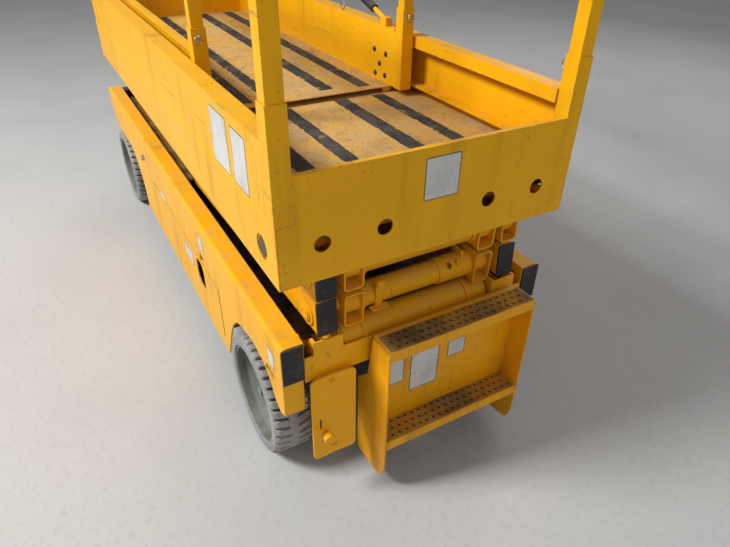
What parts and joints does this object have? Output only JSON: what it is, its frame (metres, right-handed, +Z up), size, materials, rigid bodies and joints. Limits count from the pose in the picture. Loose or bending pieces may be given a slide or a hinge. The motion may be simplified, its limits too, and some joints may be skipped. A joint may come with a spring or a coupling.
{
  "type": "scissor lift",
  "caption": "Narrow electric scissor lift: chassis on wheels, crossed arms under a railed platform with a roll-out deck, side trays and a rear ladder.",
  "frame": {"origin": "on the ground, under the middle of the machine's length and width", "axes": "+Z up, +X towards the steered front end, +Y to the machine's left"},
  "size_m": [2.452, 0.832, 2.003],
  "materials": {
    "chassis_paint": "glossy amber paint, scuffed at edges",
    "arm_paint": "glossy amber paint",
    "platform_paint": "glossy amber paint with scratches",
    "deck_paint": "worn sandy paint with black grip strips",
    "tyre_rubber": "dusty grey solid rubber",
    "wheel_paint": "dusty grey-green paint",
    "dark_steel": "satin black, dusty",
    "black_plastic": "matt moulded",
    "cylinder_paint": "amber paint",
    "bright_steel": "polished rod",
    "roller_nylon": "worn nylon"
  },
  "bodies": {
    "chassis": {"chassis_side_left": "chassis_paint", "chassis_side_right": "chassis_paint", "beam_end_plugs": "black_plastic", "chassis_floor": "dark_steel", "rear_pivot_frame": "chassis_paint", "roller_tracks": "dark_steel", "chassis_underframe": "dark_steel", "tray_hinges": "dark_steel", "rear_axle": "dark_steel", "rear_axle_tie": "dark_steel", "front_axle": "dark_steel", "ladder": "chassis_paint", "service_plate": "chassis_paint"},
    "left_tray": {"tray_door_left": "chassis_paint", "tray_left": "chassis_paint", "battery_pack": "black_plastic"},
    "right_tray": {"tray_door_right": "chassis_paint", "tray_right": "chassis_paint", "hydraulic_unit": "dark_steel"},
    "left_pothole_guard": {"pothole_guard_left": "dark_steel"},
    "right_pothole_guard": {"pothole_guard_right": "dark_steel"},
    "rear_left_wheel": {"tyre_rear_left": "tyre_rubber", "rim_rear_left": "wheel_paint"},
    "rear_right_wheel": {"tyre_rear_right": "tyre_rubber", "rim_rear_right": "wheel_paint"},
    "left_knuckle": {"knuckle_left": "dark_steel"},
    "right_knuckle": {"knuckle_right": "dark_steel"},
    "front_left_wheel": {"tyre_front_left": "tyre_rubber", "rim_front_left": "wheel_paint"},
    "front_right_wheel": {"tyre_front_right": "tyre_rubber", "rim_front_right": "wheel_paint"},
    "steering_link": {"tie_rod": "dark_steel"},
    "first_inner_arms": {"inner_arm_1": "arm_paint"},
    "first_outer_arms": {"outer_arm_1": "arm_paint", "arm_caps_1": "black_plastic", "rollers_lower": "roller_nylon"},
    "second_inner_arms": {"inner_arm_2": "arm_paint", "cross_tubes_2": "arm_paint"},
    "second_outer_arms": {"outer_arm_2": "arm_paint", "arm_cap_2": "black_plastic"},
    "third_inner_arms": {"inner_arm_3": "arm_paint", "rollers_upper": "roller_nylon"},
    "third_outer_arms": {"outer_arm_3": "arm_paint"},
    "cylinder_barrel": {"lift_cylinder_barrel": "cylinder_paint"},
    "cylinder_rod": {"lift_cylinder_rod": "bright_steel"},
    "platform": {"platform_side_left": "platform_paint", "platform_side_right": "platform_paint", "platform_end_plate": "platform_paint", "platform_deck": "deck_paint", "platform_subframe": "dark_steel", "guardrail_left": "platform_paint", "guardrail_right": "platform_paint", "guardrail_rear": "platform_paint"},
    "gate": {"entry_gate": "platform_paint"},
    "extension": {"extension_deck": "deck_paint", "extension_sides": "platform_paint", "extension_rails": "platform_paint", "control_box": "black_plastic"}
  },
  "joints": [
    {"name": "lift", "type": "hinge", "parent": "chassis", "child": "first_inner_arms", "pos_m": [-1.062, 0, 0.5], "axis": [0, -1, 0], "range_deg": [0, 56]},
    {"name": "centre_1", "type": "hinge", "parent": "first_inner_arms", "child": "first_outer_arms", "pos_m": [-0.01336, 0, 0.5535], "axis": [0, -1, 0], "range_deg": [-112, 0]},
    {"name": "rear_1", "type": "hinge", "parent": "first_outer_arms", "child": "second_inner_arms", "pos_m": [-1.062, 0, 0.607], "axis": [0, -1, 0], "range_deg": [0, 112]},
    {"name": "centre_2", "type": "hinge", "parent": "second_inner_arms", "child": "second_outer_arms", "pos_m": [-0.01336, 0, 0.6605], "axis": [0, -1, 0], "range_deg": [-112, 0]},
    {"name": "rear_2", "type": "hinge", "parent": "second_outer_arms", "child": "third_inner_arms", "pos_m": [-1.062, 0, 0.714], "axis": [0, -1, 0], "range_deg": [0, 112]},
    {"name": "centre_3", "type": "hinge", "parent": "third_inner_arms", "child": "third_outer_arms", "pos_m": [-0.01336, 0, 0.7675], "axis": [0, -1, 0], "range_deg": [-112, 0]},
    {"name": "platform_level", "type": "hinge", "parent": "third_outer_arms", "child": "platform", "pos_m": [-1.062, 0, 0.821], "axis": [0, -1, 0], "range_deg": [0, 56]},
    {"name": "cylinder_turn", "type": "hinge", "parent": "first_inner_arms", "child": "cylinder_barrel", "pos_m": [0.36869, 0, 0.52293], "axis": [0, -1, 0], "range_deg": [-110, 0]},
    {"name": "cylinder_stroke", "type": "slide", "parent": "cylinder_barrel", "child": "cylinder_rod", "axis": [-0.9857, 0, 0.1686], "range_m": [0, 0.265]},
    {"name": "left_guard_drop", "type": "hinge", "parent": "chassis", "child": "left_pothole_guard", "pos_m": [0, 0.39, 0.186], "axis": [1, 0, 0], "range_deg": [0, 90]},
    {"name": "right_guard_drop", "type": "hinge", "parent": "chassis", "child": "right_pothole_guard", "pos_m": [0, -0.39, 0.186], "axis": [-1, 0, 0], "range_deg": [0, 90]},
    {"name": "steer", "type": "hinge", "parent": "chassis", "child": "left_knuckle", "pos_m": [1.03, 0.235, 0.191], "axis": [0, 0, 1], "range_deg": [-60, 60]},
    {"name": "right_steer", "type": "hinge", "parent": "chassis", "child": "right_knuckle", "pos_m": [1.03, -0.235, 0.191], "axis": [0, 0, 1], "range_deg": [-60, 60]},
    {"name": "steering_link_turn", "type": "hinge", "parent": "left_knuckle", "child": "steering_link", "pos_m": [0.94, 0.235, 0.3245], "axis": [0, 0, 1], "range_deg": [-60, 60]},
    {"name": "rear_left_wheel_spin", "type": "hinge", "parent": "chassis", "child": "rear_left_wheel", "pos_m": [-0.858, 0.356, 0.191], "axis": [0, 1, 0], "continuous": true},
    {"name": "rear_right_wheel_spin", "type": "hinge", "parent": "chassis", "child": "rear_right_wheel", "pos_m": [-0.858, -0.356, 0.191], "axis": [0, 1, 0], "continuous": true},
    {"name": "front_left_wheel_spin", "type": "hinge", "parent": "left_knuckle", "child": "front_left_wheel", "pos_m": [1.03, 0.356, 0.191], "axis": [0, 1, 0], "continuous": true},
    {"name": "front_right_wheel_spin", "type": "hinge", "parent": "right_knuckle", "child": "front_right_wheel", "pos_m": [1.03, -0.356, 0.191], "axis": [0, 1, 0], "continuous": true},
    {"name": "left_tray_swing", "type": "hinge", "parent": "chassis", "child": "left_tray", "pos_m": [0.288, 0.391, 0.301], "axis": [0, 0, -1], "range_deg": [0, 90]},
    {"name": "right_tray_swing", "type": "hinge", "parent": "chassis", "child": "right_tray", "pos_m": [0.288, -0.391, 0.301], "axis": [0, 0, 1], "range_deg": [0, 90]},
    {"name": "extension_slide", "type": "slide", "parent": "platform", "child": "extension", "axis": [1, 0, 0], "range_m": [0, 0.9]},
    {"name": "gate_swing", "type": "hinge", "parent": "platform", "child": "gate", "pos_m": [-1.128, -0.343, 1.665], "axis": [0, 0, -1], "range_deg": [0, 90]}
  ],
  "couplings": [
    {"joint": "centre_1", "follows": "lift", "ratio": -2},
    {"joint": "rear_1", "follows": "lift", "ratio": 2},
    {"joint": "centre_2", "follows": "lift", "ratio": -2},
    {"joint": "rear_2", "follows": "lift", "ratio": 2},
    {"joint": "centre_3", "follows": "lift", "ratio": -2},
    {"joint": "platform_level", "follows": "lift", "ratio": 1},
    {"joint": "cylinder_turn", "follows": "lift", "ratio": -1.9379},
    {"joint": "cylinder_stroke", "follows": "lift", "m_per_rad": 0.26822},
    {"joint": "left_guard_drop", "follows": "lift", "ratio": 1.607},
    {"joint": "right_guard_drop", "follows": "lift", "ratio": 1.607},
    {"joint": "right_steer", "follows": "steer", "ratio": 1},
    {"joint": "steering_link_turn", "follows": "steer", "ratio": -1}
  ]
}
